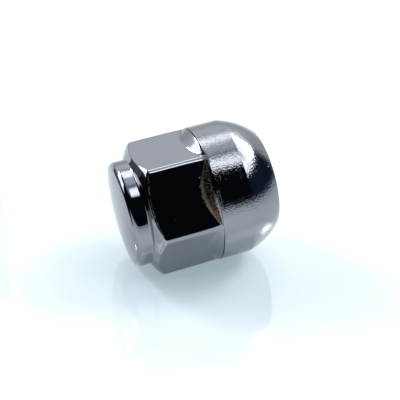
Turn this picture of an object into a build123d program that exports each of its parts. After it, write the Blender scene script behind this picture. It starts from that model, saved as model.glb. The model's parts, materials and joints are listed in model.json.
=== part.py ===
from build123d import *
import math
import os

# Closed-end lug nut with a ball seat, cold-forged in one piece from steel bar and chrome plated.
# It lies on its side at rest: one wrench flat faces the floor, and the nut rests on the chamfered
# end of that flat and on the first edge of the round collar, so its axis climbs towards the mouth.
#
# Nut frame: X is the thread axis, from the closed cap to the open mouth, with x = 0 where the
# cap meets the hexagon. Two wrench flats face up and down. Sizes are in millimetres and degrees.

# Wrench hexagon
ACROSS_FLATS = 19.0
HEX_EDGE_RADIUS = 0.6
HEX_CHAMFER_ANGLE = 30.0        # slope of the end chamfer, measured from a plane square to the axis
HEX_CHAMFER_CROWN = 60.0        # the forged chamfer bulges very slightly

# Closed cap: a short round button with a softly domed face
CAP_RADIUS = 8.45
CAP_LENGTH = 3.2                # root to the middle of the domed face
CAP_EDGE_RADIUS = 1.0
CAP_DOME_RADIUS = 42.0
CAP_ROOT_RADIUS = 0.35

# Shoulder, collar and ball seat
COLLAR_START = 10.65            # where the shoulder cone would reach the collar's radius
COLLAR_RADIUS = 10.9
COLLAR_EDGE_RADIUS = 0.8
SHOULDER_SLOPE = 36.5           # slope of the shoulder cone, measured from the axis
SHOULDER_HOLLOW = 1.5           # the forged cone is very slightly hollow: its slope varies this much
SHOULDER_BLEND_RADIUS = 1.5     # concave run-out where a flat's middle turns up into the shoulder
SEAT_START = 15.8
SEAT_RADIUS = 11.2              # sphere of the ball seat
MOUTH_PLANE = 21.0
MOUTH_EDGE_RADIUS = 0.4

# Blind M12 x 1.5 hole: the wall is the thread's minor diameter
THREAD_DIAMETER = 12.0
THREAD_PITCH = 1.5
THREAD_MINOR_RADIUS = THREAD_DIAMETER / 2 - 0.54127 * THREAD_PITCH
COUNTERSINK_RADIUS = 6.5
BORE_END = 3.0                  # end of the full-diameter hole
DRILL_POINT_ANGLE = 118.0

HALF_FLATS = ACROSS_FLATS / 2
SHAPING_MARGIN = 4.0            # how far the shaping solids reach past the nut


def sine(angle):
    return math.sin(math.radians(angle))


def cosine(angle):
    return math.cos(math.radians(angle))


def tangent(angle):
    return math.tan(math.radians(angle))


def revolve_outline(curves):
    """Solid of revolution about the thread axis from a closed outline of (axis, radius) points."""
    outline = Plane.XZ * (Curve() + curves)
    return revolve(make_face(outline), Axis.X, 360)


def follow(curve, radius, turn):
    """Arc that carries on smoothly from a curve's end, turning left when turn is positive."""
    return JernArc(curve @ 1, curve % 1, radius, turn)


def cap_outline():
    """Dome, rounded edge, cylinder, root fillet and the hexagon's end chamfer, from the axis out."""
    edge_height = CAP_RADIUS - CAP_EDGE_RADIUS
    dome_angle = math.degrees(math.asin(edge_height / (CAP_DOME_RADIUS - CAP_EDGE_RADIUS)))
    dome = JernArc((-CAP_LENGTH, 0), (0, 1), CAP_DOME_RADIUS, -dome_angle)
    edge = follow(dome, CAP_EDGE_RADIUS, dome_angle - 90)
    root_turn = 90 - HEX_CHAMFER_ANGLE
    root_start = (-CAP_ROOT_RADIUS * tangent(root_turn / 2), CAP_RADIUS)
    cylinder = Line(edge @ 1, root_start)
    root = follow(cylinder, CAP_ROOT_RADIUS, root_turn)
    chamfer_run = (COLLAR_RADIUS - CAP_RADIUS) / cosine(HEX_CHAMFER_ANGLE)
    chamfer_turn = math.degrees(chamfer_run / HEX_CHAMFER_CROWN)
    chamfer = follow(root, HEX_CHAMFER_CROWN, -chamfer_turn)
    return [dome, edge, cylinder, root, chamfer]


def hexagon_end():
    """Rounded-edge hexagonal bar, cut at the cap end by the cap's outline and the end chamfer."""
    corners = RegularPolygon(HALF_FLATS, 6, major_radius=False)
    section = fillet(corners.vertices(), HEX_EDGE_RADIUS)
    bar_start = -CAP_LENGTH - SHAPING_MARGIN
    bar = extrude(Plane.YZ.offset(bar_start) * section, COLLAR_START - bar_start)

    curves = cap_outline()
    chamfer_end = curves[-1] @ 1
    reach = COLLAR_RADIUS + SHAPING_MARGIN
    reach_start = chamfer_end.X + (reach - chamfer_end.Y) * tangent(HEX_CHAMFER_ANGLE)
    far = COLLAR_START + SHAPING_MARGIN
    closing = Polyline(chamfer_end, (reach_start, reach), (far, reach), (far, 0), curves[0] @ 0)
    return bar & revolve_outline([*curves, closing])


def collar_end():
    """Everything turned about the axis behind the flats: shoulder, collar, ball seat and mouth."""
    blend_turn = SHOULDER_SLOPE - SHOULDER_HOLLOW
    edge_turn = SHOULDER_SLOPE + SHOULDER_HOLLOW
    blend_rise = SHOULDER_BLEND_RADIUS * (1 - cosine(blend_turn))
    edge_rise = COLLAR_EDGE_RADIUS * (1 - cosine(edge_turn))
    cone_rise = COLLAR_RADIUS - HALF_FLATS - blend_rise - edge_rise
    cone_length = cone_rise / sine(SHOULDER_SLOPE)
    cone_radius = cone_length / (2 * sine(SHOULDER_HOLLOW))
    cone_run = cone_length * cosine(SHOULDER_SLOPE)
    edge_end = COLLAR_START + COLLAR_EDGE_RADIUS * tangent(SHOULDER_SLOPE / 2)
    edge_run = COLLAR_EDGE_RADIUS * sine(edge_turn)
    blend_run = SHOULDER_BLEND_RADIUS * sine(blend_turn)
    blend_start = (edge_end - edge_run - cone_run - blend_run, HALF_FLATS)
    blend = JernArc(blend_start, (1, 0), SHOULDER_BLEND_RADIUS, blend_turn)
    cone = follow(blend, cone_radius, 2 * SHOULDER_HOLLOW)
    edge = follow(cone, COLLAR_EDGE_RADIUS, -edge_turn)

    seat_centre = SEAT_START - math.sqrt(SEAT_RADIUS**2 - COLLAR_RADIUS**2)
    mouth_run = MOUTH_PLANE - MOUTH_EDGE_RADIUS - seat_centre
    seat_first = math.degrees(math.acos((SEAT_START - seat_centre) / SEAT_RADIUS))
    seat_last = math.degrees(math.acos(mouth_run / (SEAT_RADIUS - MOUTH_EDGE_RADIUS)))
    collar = Line(edge @ 1, (SEAT_START, COLLAR_RADIUS))
    seat_heading = (sine(seat_first), -cosine(seat_first))
    seat = JernArc(collar @ 1, seat_heading, SEAT_RADIUS, seat_last - seat_first)
    mouth_edge = follow(seat, MOUTH_EDGE_RADIUS, -seat_last)

    core_start = COLLAR_START / 2
    core = [(MOUTH_PLANE, 0), (core_start, 0), (core_start, HALF_FLATS)]
    closing = Polyline(mouth_edge @ 1, *core, blend @ 0)
    return revolve_outline([blend, cone, edge, collar, seat, mouth_edge, closing])


def threaded_bore():
    """Drill point, tapping-size hole and countersink, as the solid that is removed."""
    point_length = THREAD_MINOR_RADIUS / tangent(DRILL_POINT_ANGLE / 2)
    sink_depth = COUNTERSINK_RADIUS - THREAD_MINOR_RADIUS
    outline = Polyline(
        (BORE_END - point_length, 0),
        (BORE_END, THREAD_MINOR_RADIUS),
        (MOUTH_PLANE - sink_depth, THREAD_MINOR_RADIUS),
        (MOUTH_PLANE + 1, COUNTERSINK_RADIUS + 1),
        (MOUTH_PLANE + 1, 0),
        close=True,
    )
    return revolve_outline([outline])


def rest_tilt(nut_foot):
    """Angle that the axis climbs when the nut lies on its lower flat's end and on its collar."""
    edge_run = COLLAR_EDGE_RADIUS * tangent(SHOULDER_SLOPE / 2)
    along = COLLAR_START + edge_run - nut_foot
    down = COLLAR_RADIUS - COLLAR_EDGE_RADIUS - HALF_FLATS
    wedge = math.asin(COLLAR_EDGE_RADIUS / math.hypot(along, down))
    return math.degrees(math.atan2(down, along) + wedge)


def lay_down(nut):
    """Tip the mouth up, set the lowest point on z = 0 and centre the footprint on the origin."""
    nut_foot = (HALF_FLATS - CAP_RADIUS) * tangent(HEX_CHAMFER_ANGLE)
    tilt = rest_tilt(nut_foot)
    tipped = Rotation(0, -tilt, 0) * nut
    drop = HALF_FLATS * cosine(tilt) - nut_foot * sine(tilt)
    box = tipped.bounding_box()
    shift = Vector(-(box.min.X + box.max.X) / 2, 0, drop)
    return Pos(shift) * tipped, shift, tilt


os.makedirs("parts", exist_ok=True)
nut = hexagon_end() + collar_end() - threaded_bore()
lying, shift, tilt = lay_down(nut)
export_step(lying, "parts/lug_nut.step")
print(f"rest tilt {tilt:.4f} deg, frame shift {shift.X:.4f} {shift.Y:.4f} {shift.Z:.4f}")
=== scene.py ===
import json
import math

import bpy
import numpy as np
from mathutils import Matrix, Vector


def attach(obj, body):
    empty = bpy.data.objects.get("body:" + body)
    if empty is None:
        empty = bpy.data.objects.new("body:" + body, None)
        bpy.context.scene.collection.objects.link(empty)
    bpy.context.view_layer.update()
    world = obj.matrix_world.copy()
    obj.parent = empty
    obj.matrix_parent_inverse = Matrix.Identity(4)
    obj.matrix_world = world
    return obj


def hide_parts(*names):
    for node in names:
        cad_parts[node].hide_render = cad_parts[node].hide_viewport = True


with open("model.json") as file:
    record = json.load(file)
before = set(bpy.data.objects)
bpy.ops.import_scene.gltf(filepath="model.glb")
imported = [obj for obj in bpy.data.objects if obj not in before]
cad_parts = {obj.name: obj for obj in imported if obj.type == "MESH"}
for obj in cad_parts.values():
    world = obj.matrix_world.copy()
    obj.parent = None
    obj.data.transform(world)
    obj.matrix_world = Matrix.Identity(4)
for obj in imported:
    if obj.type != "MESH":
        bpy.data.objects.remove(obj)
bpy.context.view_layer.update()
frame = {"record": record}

# A closed-end, ball-seat lug nut lying on a pale floor. The visual nut is one closed mesh in the CAD
# nut's place: the same outline, with its outer edges rounded, the shoulders blended into the flats and
# the internal thread cut. Lengths are in metres and angles in radians, unless a comment says otherwise.
MM = 0.001

# The nut's outline, measured along the thread axis from where the cap meets the hexagon
HALF_FLATS = 9.5 * MM
HEX_EDGE_RADIUS = 0.9 * MM
CHAMFER_SLOPE = math.radians(30)        # from a plane square to the axis
CAP_RADIUS = 8.45 * MM
CAP_LENGTH = 3.2 * MM
CAP_EDGE_RADIUS = 1.0 * MM
CAP_DOME_RADIUS = 42 * MM
CAP_ROOT_RADIUS = 0.35 * MM
COLLAR_START = 10.65 * MM
COLLAR_RADIUS = 10.9 * MM
SHOULDER_SLOPE = math.radians(36.5)     # from the axis
SEAT_START = 15.8 * MM
MOUTH_PLANE = 21 * MM
MOUTH_EDGE_RADIUS = 0.4 * MM
COUNTERSINK_RADIUS = 6.5 * MM
THREAD_PITCH = 1.5 * MM
THREAD_MAJOR_RADIUS = 6 * MM
THREAD_FLANK_ANGLE = math.radians(30)   # from a plane square to the axis
THREAD_ROOT_HALF = THREAD_PITCH / 16
BORE_END = 3 * MM
DRILL_HALF_ANGLE = math.radians(59)

# How softly the visual mesh turns its corners
CHAMFER_EDGE_WIDTH = 0.22 * MM          # band over which the chamfer's edge is rounded
CHAMFER_CORNER_WIDTH = 0.75 * MM        # and how much wider it is on the hexagon's corners
SHOULDER_BLEND_SHARE = 0.22             # of a shoulder's height, taken by its concave foot
COLLAR_EDGE_WIDTH = 0.2 * MM
CORNER_EASE_WIDTH = 0.3 * MM            # the hexagon's corners grow rounder towards the collar
CORNER_EASE_LENGTH = 3 * MM
CORNER_REACH = 0.9 * MM
CORNER_BLEND_WIDTH = 0.4 * MM           # and run softly into it
DENT_PLACE = 18.5 * MM                  # a knock on the seat: along the axis, then round it
DENT_ANGLE = math.radians(119)
DENT_RADIUS = 1.7 * MM
DENT_DEPTH = 0.1 * MM
SEAT_EDGE_RADIUS = 0.2 * MM
LEAST_STEP = 0.02 * MM                  # the least run of the rows up a shoulder

# How finely the surface is divided
FLAT_COLUMNS = 29
ROUNDED_EDGE_COLUMNS = 13
DOME_STEPS = 12
CAP_EDGE_STEPS = 14
CAP_ROOT_STEPS = 8
CHAMFER_STEPS = 6
CHAMFER_EDGE_STEPS = 8
FLAT_STEPS = 8
SHOULDER_FOOT_STEPS = 14
SHOULDER_STEPS = 4
COLLAR_EDGE_STEPS = 14
SEAT_EDGE_STEPS = 6
SEAT_STEPS = 40
MOUTH_EDGE_STEPS = 10
THREAD_STEPS = 14                       # to a turn
CAP_SIDE_SHARES = (0.05, 0.5, 0.95)     # rows near the ends of a plain stretch keep its edges crisp
COLLAR_SHARES = (0.04, 0.5, 0.96)
MOUTH_FACE_SHARES = (0.08, 0.92, 1)
DRILL_POINT_SHARES = (0, 0.02, 0.3, 0.6, 0.9)
MOUTH_GAP = 0.05 * MM                   # from the mouth's face to the bore's first row

SIXTH = math.tau / 6
FRONT_FLAT_ANGLE = SIXTH                # of the flat that faces the camera, from the upper flat
SCRAPE_ANGLE = FRONT_FLAT_ANGLE + math.radians(38)    # of a scraped place on the chamfer below it
SCRAPE_REACH = math.radians(12)
GRAIN_EASE = 2 * MM                     # the grain fades in over this length before the collar
DARK_LINE_FIRST = 5 * MM                     # the painted dark reflection line along the collar's edge can only lie between these two places
DARK_LINE_LAST = 13 * MM
SHOULDER_SPARE = 0.1 * MM               # keeps a shoulder's length above nothing at the corners
PAST_SHOULDER = 1 * MM                  # from here on, the surface counts as twice up the shoulder
FRONT_SHARPNESS = 8                     # how steeply the front mask ends at the flat's sides


def mount(name):
    """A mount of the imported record: its place and its axis, as vectors."""
    found = next(m for m in frame["record"]["mounts"] if m["name"] == name)
    return Vector(found["pos_m"]), Vector(found["axis"]).normalized(), found["dims"]


SEAT_CENTRE_PLACE, AXIS, SEAT_DIMS = mount("ball_seat")
UP_FLAT_NORMAL = mount("hex_flat_up")[1]
SEAT_RADIUS = SEAT_DIMS["r_mm"] * MM
THREAD_MINOR_RADIUS = mount("stud_thread")[2]["r_mm"] * MM
SEAT_CENTRE = SEAT_START - math.sqrt(SEAT_RADIUS**2 - COLLAR_RADIUS**2)


def nut_to_row():
    """Matrix from the nut's own frame (X the thread axis, Z out of the upper flat) to the row."""
    side = UP_FLAT_NORMAL.cross(AXIS)
    turn = Matrix((AXIS, side, UP_FLAT_NORMAL)).transposed()
    origin = SEAT_CENTRE_PLACE - AXIS * SEAT_CENTRE
    return Matrix.Translation(origin) @ turn.to_4x4()


# ---------------------------------------------------------------- the nut's surface

def smooth_min(first, second, width):
    """The lower of two radii, rounded off where they come within width of each other."""
    near = np.maximum(1 - np.abs(first - second) / width, 0)
    return np.minimum(first, second) - near**2 * width / 4


def smooth_max(first, second, width):
    """The higher of two radii, rounded off in the same way."""
    return -smooth_min(-first, -second, width)


def columns():
    """Angles about the axis, from the upper flat's middle, with extra columns on the rounded edges."""
    edge = SIXTH / 2 - math.atan((1 - HEX_EDGE_RADIUS / HALF_FLATS) * math.tan(SIXTH / 2))
    flat = np.linspace(edge, SIXTH - edge, FLAT_COLUMNS)
    rounding = np.linspace(-edge, edge, ROUNDED_EDGE_COLUMNS)
    one = np.concatenate([rounding, flat[1:-1]]) + SIXTH / 2
    return np.concatenate([one + SIXTH * k for k in range(6)])


def hexagon_radius(angle):
    """Distance from the axis to the round-edged hexagon."""
    off = np.abs((angle + SIXTH / 2) % SIXTH - SIXTH / 2)
    back = SIXTH / 2 - off
    centre = (HALF_FLATS - HEX_EDGE_RADIUS) / math.cos(SIXTH / 2)
    inside = np.maximum(HEX_EDGE_RADIUS**2 - (centre * np.sin(back)) ** 2, 0)
    rounded = centre * np.cos(back) + np.sqrt(inside)
    reach = (1 - HEX_EDGE_RADIUS / HALF_FLATS) * math.tan(SIXTH / 2)
    return np.where(np.tan(off) < reach, HALF_FLATS / np.cos(off), rounded)


def arc(centre, radius, first, last, steps):
    """Points (along the axis, radius) of an arc; angles run from the axis towards the radius."""
    turn = np.linspace(first, last, steps + 1)
    return [(centre[0] + radius * math.cos(a), centre[1] + radius * math.sin(a)) for a in turn]


def cap_points():
    """Outline of the cap, from the middle of its domed face to the foot of the chamfer."""
    height = CAP_RADIUS - CAP_EDGE_RADIUS
    inner = CAP_DOME_RADIUS - CAP_EDGE_RADIUS
    dome_centre = CAP_DOME_RADIUS - CAP_LENGTH
    dome_angle = math.asin(height / inner)
    edge_centre = (dome_centre - inner * math.cos(dome_angle), height)
    root_turn = math.pi / 2 - CHAMFER_SLOPE
    root_centre = (-CAP_ROOT_RADIUS * math.tan(root_turn / 2), CAP_RADIUS + CAP_ROOT_RADIUS)
    dome = arc((dome_centre, 0), CAP_DOME_RADIUS, math.pi, math.pi - dome_angle, DOME_STEPS)
    edge = arc(edge_centre, CAP_EDGE_RADIUS, math.pi - dome_angle, math.pi / 2, CAP_EDGE_STEPS)
    root = arc(root_centre, CAP_ROOT_RADIUS, -math.pi / 2, root_turn - math.pi / 2, CAP_ROOT_STEPS)
    middle = [(edge[-1][0] * (1 - t) + root[0][0] * t, CAP_RADIUS) for t in CAP_SIDE_SHARES]
    return dome[1:] + edge[1:] + middle + root


def hexagon_rows(angle):
    """Rows from the chamfer's foot to the collar, following the edges of the flats."""
    hexagon = hexagon_radius(angle)
    chamfer_edge = (hexagon - CAP_RADIUS) * math.tan(CHAMFER_SLOPE)
    foot = COLLAR_START - (COLLAR_RADIUS - hexagon) / math.tan(SHOULDER_SLOPE)
    corner = np.clip(1 - (COLLAR_RADIUS - hexagon) / CORNER_REACH, 0, 1)
    blend = SHOULDER_BLEND_SHARE * (COLLAR_RADIUS - hexagon) + CORNER_BLEND_WIDTH * corner
    edge_width = COLLAR_EDGE_WIDTH + CORNER_EASE_WIDTH * corner
    chamfer_width = CHAMFER_EDGE_WIDTH + CHAMFER_CORNER_WIDTH * corner
    chamfer_half = chamfer_width * math.tan(CHAMFER_SLOPE)
    blend_half = blend / math.tan(SHOULDER_SLOPE)
    edge_half = edge_width / math.tan(SHOULDER_SLOPE)
    first = cap_points()[-1][0]
    collar_first = np.maximum(foot + blend_half + LEAST_STEP, COLLAR_START - edge_half)

    def between(start, end, steps):
        return [start + (end - start) * t for t in np.linspace(0, 1, steps + 1)[1:]]

    stations = between(first, chamfer_edge - chamfer_half, CHAMFER_STEPS)
    stations += between(chamfer_edge - chamfer_half, chamfer_edge + chamfer_half, CHAMFER_EDGE_STEPS)
    stations += between(chamfer_edge + chamfer_half, foot - blend_half, FLAT_STEPS)
    stations += between(foot - blend_half, foot + blend_half, SHOULDER_FOOT_STEPS)
    stations += between(foot + blend_half, collar_first, SHOULDER_STEPS)
    stations += between(collar_first, COLLAR_START + edge_half, COLLAR_EDGE_STEPS)
    rows = []
    for x in stations:
        cone = CAP_RADIUS + x / math.tan(CHAMFER_SLOPE)
        bar = smooth_min(hexagon, cone, chamfer_width)
        shoulder = COLLAR_RADIUS - (COLLAR_START - x) * math.tan(SHOULDER_SLOPE)
        ease = np.clip((x - COLLAR_START) / CORNER_EASE_LENGTH + 1, 0, 1)
        ease = ease**2 * (3 - 2 * ease)
        width = COLLAR_EDGE_WIDTH + CORNER_EASE_WIDTH * corner * ease
        rows.append((x, smooth_min(smooth_max(bar, shoulder, blend), COLLAR_RADIUS, width)))
    return rows


def seat_points():
    """Outline of the seat's first edge, the ball seat and the mouth's edge."""
    mouth_run = MOUTH_PLANE - MOUTH_EDGE_RADIUS - SEAT_CENTRE
    last = math.acos(mouth_run / (SEAT_RADIUS - MOUTH_EDGE_RADIUS))
    edge_centre = (MOUTH_PLANE - MOUTH_EDGE_RADIUS, (SEAT_RADIUS - MOUTH_EDGE_RADIUS) * math.sin(last))
    # The seat's first edge is rounded by an arc that touches the collar and the sphere.
    fillet_height = COLLAR_RADIUS - SEAT_EDGE_RADIUS
    fillet_run = math.sqrt((SEAT_RADIUS - SEAT_EDGE_RADIUS) ** 2 - fillet_height**2)
    fillet_angle = math.acos(fillet_run / (SEAT_RADIUS - SEAT_EDGE_RADIUS))
    fillet_centre = (SEAT_CENTRE + fillet_run, fillet_height)
    points = arc(fillet_centre, SEAT_EDGE_RADIUS, math.pi / 2, fillet_angle, SEAT_EDGE_STEPS)
    points += arc((SEAT_CENTRE, 0), SEAT_RADIUS, fillet_angle, last, SEAT_STEPS)[1:]
    points += arc(edge_centre, MOUTH_EDGE_RADIUS, last, 0, MOUTH_EDGE_STEPS)[1:]
    return points


def thread_radius(x, angle):
    """Wall of the right-hand internal thread: flat crests, 60 degree flanks, flat roots."""
    depth = THREAD_MAJOR_RADIUS - THREAD_MINOR_RADIUS
    phase = (x / THREAD_PITCH - angle / math.tau) % 1
    from_root = np.abs(phase - 0.5) * THREAD_PITCH
    flank = depth * math.tan(THREAD_FLANK_ANGLE)
    rise = np.clip((from_root - THREAD_ROOT_HALF) / flank, 0, 1)
    run_out = np.clip((x - BORE_END - THREAD_PITCH) / THREAD_PITCH, 0, 1)
    return THREAD_MINOR_RADIUS + depth * (1 - rise) * run_out


def bore_rows(angle):
    """Rows from the mouth's face, down the countersink and the thread, to the drill point."""
    ones = np.ones_like(angle)
    face_first = seat_points()[-1][1]
    face_width = face_first - COUNTERSINK_RADIUS
    rows = [(ones * MOUTH_PLANE, ones * (face_first - face_width * t)) for t in MOUTH_FACE_SHARES]
    for x in np.arange(MOUTH_PLANE - MOUTH_GAP, BORE_END, -THREAD_PITCH / THREAD_STEPS):
        cone = ones * (COUNTERSINK_RADIUS - (MOUTH_PLANE - x))
        rows.append((ones * x, np.maximum(cone, thread_radius(ones * x, angle))))
    tip = BORE_END - THREAD_MINOR_RADIUS / math.tan(DRILL_HALF_ANGLE)
    for t in DRILL_POINT_SHARES:
        rows.append((ones * (BORE_END + (tip - BORE_END) * t), ones * THREAD_MINOR_RADIUS * (1 - t)))
    return rows, tip


def surface_rows(angle):
    """Every row of the nut from the cap's middle to the drill point, and the two end points."""
    ones = np.ones_like(angle)
    rows = [(ones * x, ones * r) for x, r in cap_points()]
    rows += hexagon_rows(angle)
    collar_end = seat_points()[0][0]
    start = rows[-1][0]
    rows += [(start + (collar_end - start) * t, ones * COLLAR_RADIUS) for t in COLLAR_SHARES]
    for x, r in seat_points():
        dented = (x > SEAT_START) & (r > COUNTERSINK_RADIUS)
        across = np.hypot(x - DENT_PLACE, r * np.abs(angle - DENT_ANGLE)) / DENT_RADIUS
        rows.append((ones * x, r - dented * DENT_DEPTH * np.clip(1 - across**2, 0, 1) ** 2))
    inside, tip = bore_rows(angle)
    return rows + inside, -CAP_LENGTH, tip


def surface_masks(x, r, angle):
    """Where the grain, the painted dark reflection line, the front shoulder's stain and the worn and
    scraped edges are.
    """
    hexagon = hexagon_radius(angle) * np.ones_like(x)
    before_mouth = np.arange(len(x))[:, None] < np.argmax(x[:, 0])
    outside = before_mouth * np.ones_like(x)
    along = (angle - FRONT_FLAT_ANGLE) / (SIXTH / 2) * np.ones_like(x)
    from_scrape = np.abs(angle - SCRAPE_ANGLE) / SCRAPE_REACH
    grain = np.clip((x - COLLAR_START) / GRAIN_EASE + 1, 0, 1) * (r > THREAD_MAJOR_RADIUS)
    foot = COLLAR_START - (COLLAR_RADIUS - hexagon) / math.tan(SHOULDER_SLOPE)
    up_shoulder = (x - foot) / (COLLAR_START - foot + SHOULDER_SPARE)
    chamfer_edge = (hexagon - CAP_RADIUS) * math.tan(CHAMFER_SLOPE)
    from_edge = (x - chamfer_edge) / MM
    return {
        "grain": grain,
        "near_dark_reflection_line": outside * (x > DARK_LINE_FIRST) * (x < DARK_LINE_LAST),
        "up_shoulder": np.where(x > COLLAR_START + PAST_SHOULDER, 2, np.clip(up_shoulder, -1, 2)),
        "on_front": np.clip(FRONT_SHARPNESS * (1 - np.abs(along)), 0, 1) * (x > 0) * outside,
        "along_front": np.clip(along, -1, 1),
        "on_scrape": np.clip(1 - from_scrape, 0, 1) * outside * (x > 0) * (x < COLLAR_START),
        "from_chamfer": np.where(before_mouth, np.clip(from_edge, -1, 2), 2),
    }


def build_nut():
    """The closed mesh, in the row frame, with area-weighted normals so that the flats stay flat."""
    angle = columns()
    rows, apex, tip = surface_rows(angle)
    x = np.array([row[0] for row in rows])
    r = np.array([row[1] for row in rows])
    grid = np.stack([x, -r * np.sin(angle), r * np.cos(angle)], axis=-1)
    count, width = x.shape
    points = np.vstack([grid.reshape(-1, 3), [[apex, 0, 0], [tip, 0, 0]]])

    first = np.arange(count * width).reshape(count, width)
    near, far = first[:-1], first[1:]
    quads = np.stack([near, np.roll(near, -1, 1), np.roll(far, -1, 1), far], axis=-1).reshape(-1, 4)
    cap_fan = np.stack([np.full(width, count * width), np.roll(first[0], -1), first[0]], axis=-1)
    tip_fan = np.stack([np.full(width, count * width + 1), first[-1], np.roll(first[-1], -1)], axis=-1)
    faces = [tuple(f) for part in (quads, cap_fan, tip_fan) for f in part.tolist()]

    normals = np.zeros_like(points)
    for part in (quads, cap_fan, tip_fan):
        a, b, c, d = (points[part[:, k]] for k in (0, 1, 2, -1))
        area = np.cross(c - a, d - b) if part.shape[1] == 4 else np.cross(b - a, c - a)
        for k in range(part.shape[1]):
            np.add.at(normals, part[:, k], area)

    to_row = np.array(nut_to_row())
    points = points @ to_row[:3, :3].T + to_row[:3, 3]
    normals = normals @ to_row[:3, :3].T
    normals /= np.linalg.norm(normals, axis=1, keepdims=True)
    mesh = bpy.data.meshes.new("lug_nut_chrome")
    mesh.from_pydata(points.tolist(), [], faces)
    mesh.polygons.foreach_set("use_smooth", [True] * len(faces))
    mesh.normals_split_custom_set_from_vertices(normals.tolist())
    masks = surface_masks(x, r, angle)
    for name, mask in masks.items():
        layer = mesh.attributes.new(name, "FLOAT", "POINT")
        layer.data.foreach_set("value", np.append(mask.reshape(-1), [0, 0]).astype(np.float32))
    nut = bpy.data.objects.new("lug_nut_chrome", mesh)
    bpy.context.scene.collection.objects.link(nut)
    return nut


nut = build_nut()


# ---------------------------------------------------------------- node helpers

def feed(tree, socket, value):
    """Gives an input socket a link or a plain value."""
    if isinstance(value, bpy.types.NodeSocket):
        tree.links.new(value, socket)
    else:
        socket.default_value = value


def maths(tree, operation, *inputs):
    made = tree.nodes.new("ShaderNodeMath")
    made.operation = operation
    for socket, value in zip(made.inputs, inputs):
        feed(tree, socket, value)
    return made.outputs[0]


def vector_maths(tree, operation, *inputs):
    made = tree.nodes.new("ShaderNodeVectorMath")
    made.operation = operation
    for socket, value in zip(made.inputs, inputs):
        feed(tree, socket, value)
    return made.outputs[0]


def ramp(tree, value, start, end, low=0.0, high=1.0):
    """low at start, high at end, smoothly between."""
    made = tree.nodes.new("ShaderNodeMapRange")
    made.interpolation_type = "SMOOTHSTEP"
    for name, given in zip(("Value", "From Min", "From Max", "To Min", "To Max"),
                           (value, start, end, low, high)):
        feed(tree, made.inputs[name], given)
    return made.outputs["Result"]


# ---------------------------------------------------------------- chrome

CHROME_COLOUR = (0.325, 0.332, 0.352, 1)
OLIVE_COLOUR = (0.30, 0.27, 0.15, 1)
RUST_COLOUR = (0.23, 0.075, 0.045, 1)
# Painted highlight: a light colour for two lines along the collar's edge on the front
HIGHLIGHT_LINE_COLOUR = (0.42, 0.38, 0.4, 1)
SCRAPE_COLOUR = (0.66, 0.64, 0.66, 1)
# Near black: the dark stain on the front shoulder, and also a painted dark reflection line along the
# collar's edge
DARK_STAIN_AND_REFLECTION_COLOUR = (0.012, 0.009, 0.009, 1)
WORN_COLOUR = (0.5, 0.47, 0.38, 1)
SMOOTH_ROUGHNESS = 0.045
GRAIN_ROUGHNESS = 0.055
MARK_ROUGHNESS = 0.4
STAIN_GLOSS = 0.15
GRAZING_TINT = (0.84, 0.83, 0.81, 1)    # the plating mirrors a little less where it is seen edge-on
GRAIN_SCALE = 3500                      # grain of about a quarter of a millimetre
GRAIN_DETAIL = 2
GRAIN_HEIGHT = 0.035 * MM
WAVE_SCALE = 420                        # slow unevenness of the plating
WAVE_DETAIL = 1
WAVE_HEIGHT = 0.03 * MM
CLOUD_SCALE = 900                       # patches of about a millimetre
CLOUD_DETAIL = 4
CLOUD_ROUGHNESS = 0.05                  # how much the patches vary the roughness
PIT_SCALE = 900
PIT_HEIGHT = 0.02 * MM
PIT_EDGE = (0.1, 0.03)                  # a pit fades in between these distances from its middle
PIT_CHOICE = 0.85                       # only the cells above this have one
FLAT_GRAIN = 0.08                       # share of the grain's height that the smooth parts have
STAIN_METALLIC = 0.5

# The places of the stains, of the painted dark reflection line and of the painted highlight lines:
# middle and half width of each band, up the shoulder from its foot (0) to the collar (1), along the
# front flat from its upper side (-1) to its lower (1), or from the chamfer's edge in millimetres. The
# others are where something starts and where it is full, on the front flat or in a noise's value, with
# its least and its greatest share where those aren't 0 and 1.
RAGGEDNESS = 0.5
OLIVE_BAND = (0.06, 0.16)
OLIVE_FIRST = (-0.75, -0.35)
OLIVE_LAST = (0.75, 0.3, 0.0, 0.8)
DARK_BAND = (0.42, 0.42)
RUST_FIRST = (0.05, 0.5)
RUST_CLOUD = (0.34, 0.54)
RUST_GRAIN = (0.36, 0.52, 0.35, 1.0)
SPECK_GRAIN = (0.52, 0.64, 0.0, 0.35)
# Painted highlights: two light lines along the collar's edge on the front
HIGHLIGHT_LINE_BAND = (0.98, 0.07)
SECOND_HIGHLIGHT_LINE_BAND = (1.15, 0.04)
HIGHLIGHT_LINE_ALONG = (0.2, 0.5)
HIGHLIGHT_LINE_CLOUD = (0.38, 0.5)
WORN_BAND = (0.24, 0.11)
WORN_GRAIN = (0.3, 0.5)
WORN_CLOUD = (0.35, 0.5, 0.4, 1.0)
SCRAPE_BAND = (-0.15, 0.55)
SCRAPE_GRAIN = (0.47, 0.53)
# Painted dark reflection: the near-black line along the collar's edge
DARK_REFLECTION_LINE_BAND = (0.95, 0.06)
BAND_CORE = 0.4                         # share of a band's half width where it is full


def texture(tree, kind, place, scale, **settings):
    made = tree.nodes.new(kind)
    feed(tree, made.inputs["Vector"], place)
    made.inputs["Scale"].default_value = scale
    for name, value in settings.items():
        made.inputs[name].default_value = value
    return made


def noise(tree, place, scale, detail):
    return texture(tree, "ShaderNodeTexNoise", place, scale, Detail=detail).outputs["Fac"]


def attribute(tree, name):
    """One of the mesh's masks."""
    made = tree.nodes.new("ShaderNodeAttribute")
    made.attribute_name = name
    return made.outputs["Fac"]


def mix_colours(tree, share, first, second):
    made = tree.nodes.new("ShaderNodeMix")
    made.data_type = "RGBA"
    feed(tree, made.inputs["Factor"], share)
    feed(tree, made.inputs["A"], first)
    feed(tree, made.inputs["B"], second)
    return made.outputs["Result"]


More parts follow.
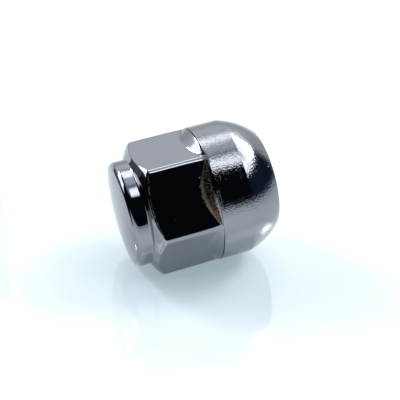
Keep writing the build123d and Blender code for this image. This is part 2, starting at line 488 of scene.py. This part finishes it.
def bump(tree, height, distance, normal=None):
    made = tree.nodes.new("ShaderNodeBump")
    feed(tree, made.inputs["Height"], height)
    made.inputs["Distance"].default_value = distance
    if normal is not None:
        feed(tree, made.inputs["Normal"], normal)
    return made.outputs["Normal"]


def product(tree, first, *others):
    for other in others:
        first = maths(tree, "MULTIPLY", first, other)
    return first


def highest(tree, first, *others):
    for other in others:
        first = maths(tree, "MAXIMUM", first, other)
    return first


def around(tree, value, spread):
    """A noise's value, moved so that its middle is 0, and scaled."""
    return maths(tree, "MULTIPLY", maths(tree, "SUBTRACT", value, 0.5), spread)


def band(tree, value, middle, half_width):
    """1 in the middle, 0 from half_width away."""
    away = maths(tree, "ABSOLUTE", maths(tree, "SUBTRACT", value, middle))
    return ramp(tree, away, half_width, half_width * BAND_CORE)


def pits(tree, place):
    """Sparse round pits: 1 in a pit, 0 elsewhere."""
    dots = texture(tree, "ShaderNodeTexVoronoi", place, PIT_SCALE, Randomness=1)
    chosen = tree.nodes.new("ShaderNodeSeparateColor")
    feed(tree, chosen.inputs[0], dots.outputs["Color"])
    kept = maths(tree, "GREATER_THAN", chosen.outputs["Red"], PIT_CHOICE)
    return product(tree, ramp(tree, dots.outputs["Distance"], *PIT_EDGE), kept)


def stains_and_painted_light(tree, fine, cloud):
    """Shares of each stain and scrape, of the painted dark reflection line and of the painted highlight
    lines, from the mesh's masks and two noises.
    """
    up_shoulder = attribute(tree, "up_shoulder")
    along_front = attribute(tree, "along_front")
    from_chamfer = attribute(tree, "from_chamfer")
    on_front = attribute(tree, "on_front")
    ragged = maths(tree, "ADD", up_shoulder, around(tree, fine, RAGGEDNESS))

    # On the front shoulder: an olive line at its foot, dark in the middle, rust lower down
    olive_ends = product(
        tree, ramp(tree, along_front, *OLIVE_FIRST), ramp(tree, along_front, *OLIVE_LAST))
    dark = product(tree, band(tree, ragged, *DARK_BAND), on_front)
    rust_grain = product(tree, ramp(tree, cloud, *RUST_CLOUD), ramp(tree, fine, *RUST_GRAIN))
    # painted highlights: two light, rough lines along the collar's edge
    highlight_lines = highest(tree, band(tree, ragged, *HIGHLIGHT_LINE_BAND), band(tree, up_shoulder, *SECOND_HIGHLIGHT_LINE_BAND))
    worn_grain = product(tree, ramp(tree, fine, *WORN_GRAIN), ramp(tree, cloud, *WORN_CLOUD))
    return {
        "dark": dark,
        "specks": product(tree, dark, ramp(tree, fine, *SPECK_GRAIN)),
        "rust": product(tree, dark, ramp(tree, along_front, *RUST_FIRST), rust_grain),
        # painted dark reflection: a near-black line all round the collar's edge
        "dark_reflection_line": product(tree, band(tree, up_shoulder, *DARK_REFLECTION_LINE_BAND), attribute(tree, "near_dark_reflection_line")),
        "olive": product(tree, band(tree, ragged, *OLIVE_BAND), olive_ends, on_front),
        "worn": product(tree, band(tree, from_chamfer, *WORN_BAND), worn_grain, on_front),
        "painted_highlight": product(tree, highlight_lines, band(tree, along_front, *HIGHLIGHT_LINE_ALONG),
                         ramp(tree, cloud, *HIGHLIGHT_LINE_CLOUD)),
        "scrape": product(tree, band(tree, from_chamfer, *SCRAPE_BAND),
                          ramp(tree, fine, *SCRAPE_GRAIN), attribute(tree, "on_scrape")),
    }


# Over the chrome, each over the ones before it
MARK_AND_PAINTED_LIGHT_COLOURS = {
    "dark": DARK_STAIN_AND_REFLECTION_COLOUR,
    "specks": OLIVE_COLOUR,
    "rust": RUST_COLOUR,
    # painted dark reflection line along the collar's edge
    "dark_reflection_line": DARK_STAIN_AND_REFLECTION_COLOUR,
    "olive": OLIVE_COLOUR,
    "worn": WORN_COLOUR,
    # painted highlight lines along the collar's edge
    "painted_highlight": HIGHLIGHT_LINE_COLOUR,
    "scrape": SCRAPE_COLOUR,
}


def dark_chrome():
    """Dark chrome: smooth on the flats, grainy on the collar and the seat, pitted, stained in places, with
    a painted dark reflection line and painted highlight lines along the collar's edge.
    """
    material = bpy.data.materials.new("dark_chrome")
    material.use_nodes = True
    tree = material.node_tree
    shader = tree.nodes["Principled BSDF"]
    place = tree.nodes.new("ShaderNodeTexCoord").outputs["Object"]
    grain = attribute(tree, "grain")
    fine = noise(tree, place, GRAIN_SCALE, GRAIN_DETAIL)
    cloud = noise(tree, place, CLOUD_SCALE, CLOUD_DETAIL)
    slow = noise(tree, place, WAVE_SCALE, WAVE_DETAIL)
    shares = stains_and_painted_light(tree, fine, cloud)

    colour = CHROME_COLOUR
    for name, mark_colour in MARK_AND_PAINTED_LIGHT_COLOURS.items():
        colour = mix_colours(tree, shares[name], colour, mark_colour)
    feed(tree, shader.inputs["Base Color"], colour)

    stained = highest(tree, shares["olive"], shares["dark"], shares["rust"])
    # the worn and scraped places and the painted highlight lines are rougher
    worn_and_highlit = highest(tree, shares["worn"], shares["painted_highlight"], shares["scrape"])
    feed(tree, shader.inputs["Metallic"], ramp(tree, stained, 0.0, 1.0, 1.0, STAIN_METALLIC))
    shader.inputs["Specular IOR Level"].default_value = STAIN_GLOSS
    shader.inputs["Specular Tint"].default_value = GRAZING_TINT
    rough = ramp(tree, grain, 0.0, 1.0, SMOOTH_ROUGHNESS, GRAIN_ROUGHNESS)
    rough = maths(tree, "ADD", rough, around(tree, cloud, CLOUD_ROUGHNESS))
    rough = highest(tree, rough, product(tree, stained, MARK_ROUGHNESS),
                    product(tree, worn_and_highlit, MARK_ROUGHNESS))
    feed(tree, shader.inputs["Roughness"], rough)

    grain_share = maths(tree, "ADD", product(tree, grain, 1 - FLAT_GRAIN), FLAT_GRAIN)
    normal = bump(tree, slow, WAVE_HEIGHT)
    normal = bump(tree, product(tree, fine, grain_share), GRAIN_HEIGHT, normal)
    normal = bump(tree, maths(tree, "SUBTRACT", 1.0, pits(tree, place)), PIT_HEIGHT, normal)
    feed(tree, shader.inputs["Normal"], normal)
    return material


nut.data.materials.append(dark_chrome())
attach(nut, "root")
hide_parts("lug_nut")


# ---------------------------------------------------------------- studio

FLOOR_COLOUR = (0.58, 0.595, 0.615, 1)
FLOOR_ROUGHNESS = 0.05
FLOOR_IOR = 1.85
FLOOR_GLOW_COLOUR = (0.27, 0.345, 0.38, 1)    # light that the thin pale top lets through from below
FLOOR_HALF = 4.0
BACKGROUND_COLOUR = (1, 1, 1, 1)

# Soft lights and pale walls all round, far away: the direction of each one's middle as azimuth (0 is
# along +Y, 90 along -X) and elevation, its half width and half height, its soft edge, all in degrees,
# then its colour and strength. What no panel covers, the side the camera stands on, stays dark.
LIGHT_PANELS = {
    "back_wall": (-14, 5, 58, 40, 10, (0.93, 0.97, 1.04), 0.74),
    "back_wall_top": (-2, 38, 45, 18, 18, (0.93, 0.97, 1.05), 0.35),
    "left_softbox": (58, 27, 15, 19, 5, (0.96, 1.0, 1.05), 2.8),
    "left_softbox_core": (38, 38, 8, 5, 3, (0.96, 1.0, 1.05), 31.0),
    "right_softbox": (-90, 49, 56, 11, 5, (0.97, 1.0, 1.03), 3.0),
    "right_softbox_core": (-80, 44, 14, 3, 2, (0.97, 1.0, 1.03), 29.0),
    "right_softbox_gap": (-98, 54, 13, 5, 4, (1.0, 1.0, 1.0), -1.6),
    "high_front_softbox": (-156, 72, 24, 9, 6, (0.97, 1.0, 1.04), 2.3),
    "high_back_softbox": (0, 59, 24, 9, 10, (0.95, 1.0, 1.04), 2.7),
    "ceiling": (0, 90, 180, 24, 14, (0.85, 0.98, 1.15), 0.42),
    "ceiling_back": (-12, 76, 60, 12, 14, (0.95, 1.0, 1.08), 0.5),
    "dark_room": (-105, 19, 32, 20, 14, (0.25, 0.5, 1.3), 0.035),
}
DARK_SIDE = (0.004, 0.005, 0.008)


def studio_world():
    """The far surroundings: light panels for the nut and the floor, a plain white for the camera."""
    world = bpy.data.worlds.new("studio")
    world.use_nodes = True
    bpy.context.scene.world = world
    tree = world.node_tree
    tree.nodes.clear()
    direction = tree.nodes.new("ShaderNodeTexCoord").outputs["Generated"]
    parts = tree.nodes.new("ShaderNodeSeparateXYZ")
    feed(tree, parts.inputs[0], vector_maths(tree, "NORMALIZE", direction))
    azimuth = maths(tree, "ARCTAN2", maths(tree, "MULTIPLY", parts.outputs["X"], -1.0), parts.outputs["Y"])
    elevation = maths(tree, "ARCSINE", parts.outputs["Z"])
    total = DARK_SIDE
    for turn, height, half_width, half_height, edge, colour, strength in LIGHT_PANELS.values():
        turn, height, half_width, half_height, edge = map(
            math.radians, (turn, height, half_width, half_height, edge))
        aside = maths(tree, "ABSOLUTE", maths(
            tree, "WRAP", maths(tree, "SUBTRACT", azimuth, turn), math.pi, -math.pi))
        above = maths(tree, "ABSOLUTE", maths(tree, "SUBTRACT", elevation, height))
        across = ramp(tree, aside, half_width + edge / 2, half_width - edge / 2)
        upward = ramp(tree, above, half_height + edge / 2, half_height - edge / 2)
        share = maths(tree, "MULTIPLY", across, upward)
        full = [part * strength for part in colour]
        total = vector_maths(tree, "MULTIPLY_ADD", full, share, total)
    lights = tree.nodes.new("ShaderNodeBackground")
    feed(tree, lights.inputs["Color"], total)
    plain = tree.nodes.new("ShaderNodeBackground")
    plain.inputs["Color"].default_value = BACKGROUND_COLOUR
    choice = tree.nodes.new("ShaderNodeMixShader")
    feed(tree, choice.inputs[0], tree.nodes.new("ShaderNodeLightPath").outputs["Is Camera Ray"])
    feed(tree, choice.inputs[1], lights.outputs[0])
    feed(tree, choice.inputs[2], plain.outputs[0])
    output = tree.nodes.new("ShaderNodeOutputWorld")
    feed(tree, output.inputs["Surface"], choice.outputs[0])


def floor():
    """A plain pale tabletop with a slight gloss."""
    half = FLOOR_HALF
    corners = [(-half, -half, 0), (half, -half, 0), (half, half, 0), (-half, half, 0)]
    mesh = bpy.data.meshes.new("floor")
    mesh.from_pydata(corners, [], [(0, 1, 2, 3)])
    table = bpy.data.objects.new("floor", mesh)
    bpy.context.scene.collection.objects.link(table)
    material = bpy.data.materials.new("pale_tabletop")
    material.use_nodes = True
    shader = material.node_tree.nodes["Principled BSDF"]
    shader.inputs["Base Color"].default_value = FLOOR_COLOUR
    shader.inputs["Roughness"].default_value = FLOOR_ROUGHNESS
    shader.inputs["IOR"].default_value = FLOOR_IOR
    shader.inputs["Emission Color"].default_value = FLOOR_GLOW_COLOUR
    shader.inputs["Emission Strength"].default_value = 1
    mesh.materials.append(material)


# Low dark cards beside the nut, which only gloss sees: direction from the cap in degrees, distance,
# half width and height in millimetres, and colour.
FLAGS = {
    "grey_flag": (48, 34, 10.5, 23, (0.13, 0.14, 0.19, 1)),
    "black_flag": (84, 26, 11, 17.6, (0.008, 0.008, 0.01, 1)),
}
CAP_PLACE = Vector((-8.5, 0, 0)) * MM


def flag(name, azimuth, distance, half_width, height, colour):
    """An upright card that stands on the floor and faces the cap."""
    turn = math.radians(azimuth)
    towards = Vector((-math.sin(turn), math.cos(turn), 0))
    along = Vector((towards.y, -towards.x, 0)) * half_width * MM
    foot = CAP_PLACE + towards * distance * MM
    top = Vector((0, 0, height)) * MM
    corners = [foot - along, foot + along, foot + along + top, foot - along + top]
    mesh = bpy.data.meshes.new(name)
    mesh.from_pydata(corners, [], [(0, 1, 2, 3)])
    card = bpy.data.objects.new(name, mesh)
    bpy.context.scene.collection.objects.link(card)
    material = bpy.data.materials.new(name)
    material.use_nodes = True
    shader = material.node_tree.nodes["Principled BSDF"]
    shader.inputs["Base Color"].default_value = (0, 0, 0, 1)
    shader.inputs["Roughness"].default_value = 1
    shader.inputs["Specular IOR Level"].default_value = 0
    shader.inputs["Emission Color"].default_value = colour
    shader.inputs["Emission Strength"].default_value = 1
    mesh.materials.append(material)
    card.visible_camera = False
    card.visible_diffuse = False
    card.visible_shadow = False


CAMERA_TARGET = Vector((1.06, -0.917, 10.217)) * MM
CAMERA_DISTANCE = 143.25 * MM
CAMERA_AZIMUTH = math.radians(-19.63)
CAMERA_ELEVATION = math.radians(28.81)
CAMERA_ROLL = math.radians(1.31)
CAMERA_LENS = 80.79                     # in millimetres, as is the sensor's width
CAMERA_SENSOR = 36
NEAREST_SEEN = 5 * MM


def camera():
    """The camera, at the distance, angle and lens that were fitted for the nut."""
    data = bpy.data.cameras.new("camera")
    data.lens = CAMERA_LENS
    data.sensor_width = CAMERA_SENSOR
    data.clip_start = NEAREST_SEEN
    eye = bpy.data.objects.new("camera", data)
    bpy.context.scene.collection.objects.link(eye)
    level = math.cos(CAMERA_ELEVATION)
    away = Vector((math.sin(CAMERA_AZIMUTH) * level, -math.cos(CAMERA_AZIMUTH) * level,
                   math.sin(CAMERA_ELEVATION)))
    aim = Matrix.Rotation(CAMERA_AZIMUTH, 4, "Z")
    aim = aim @ Matrix.Rotation(math.pi / 2 - CAMERA_ELEVATION, 4, "X")
    aim = aim @ Matrix.Rotation(CAMERA_ROLL, 4, "Z")
    eye.matrix_world = Matrix.Translation(CAMERA_TARGET + away * CAMERA_DISTANCE) @ aim
    bpy.context.scene.camera = eye


studio_world()
floor()
for flag_name, settings in FLAGS.items():
    flag(flag_name, *settings)
camera()
bpy.context.scene.view_settings.view_transform = "Standard"
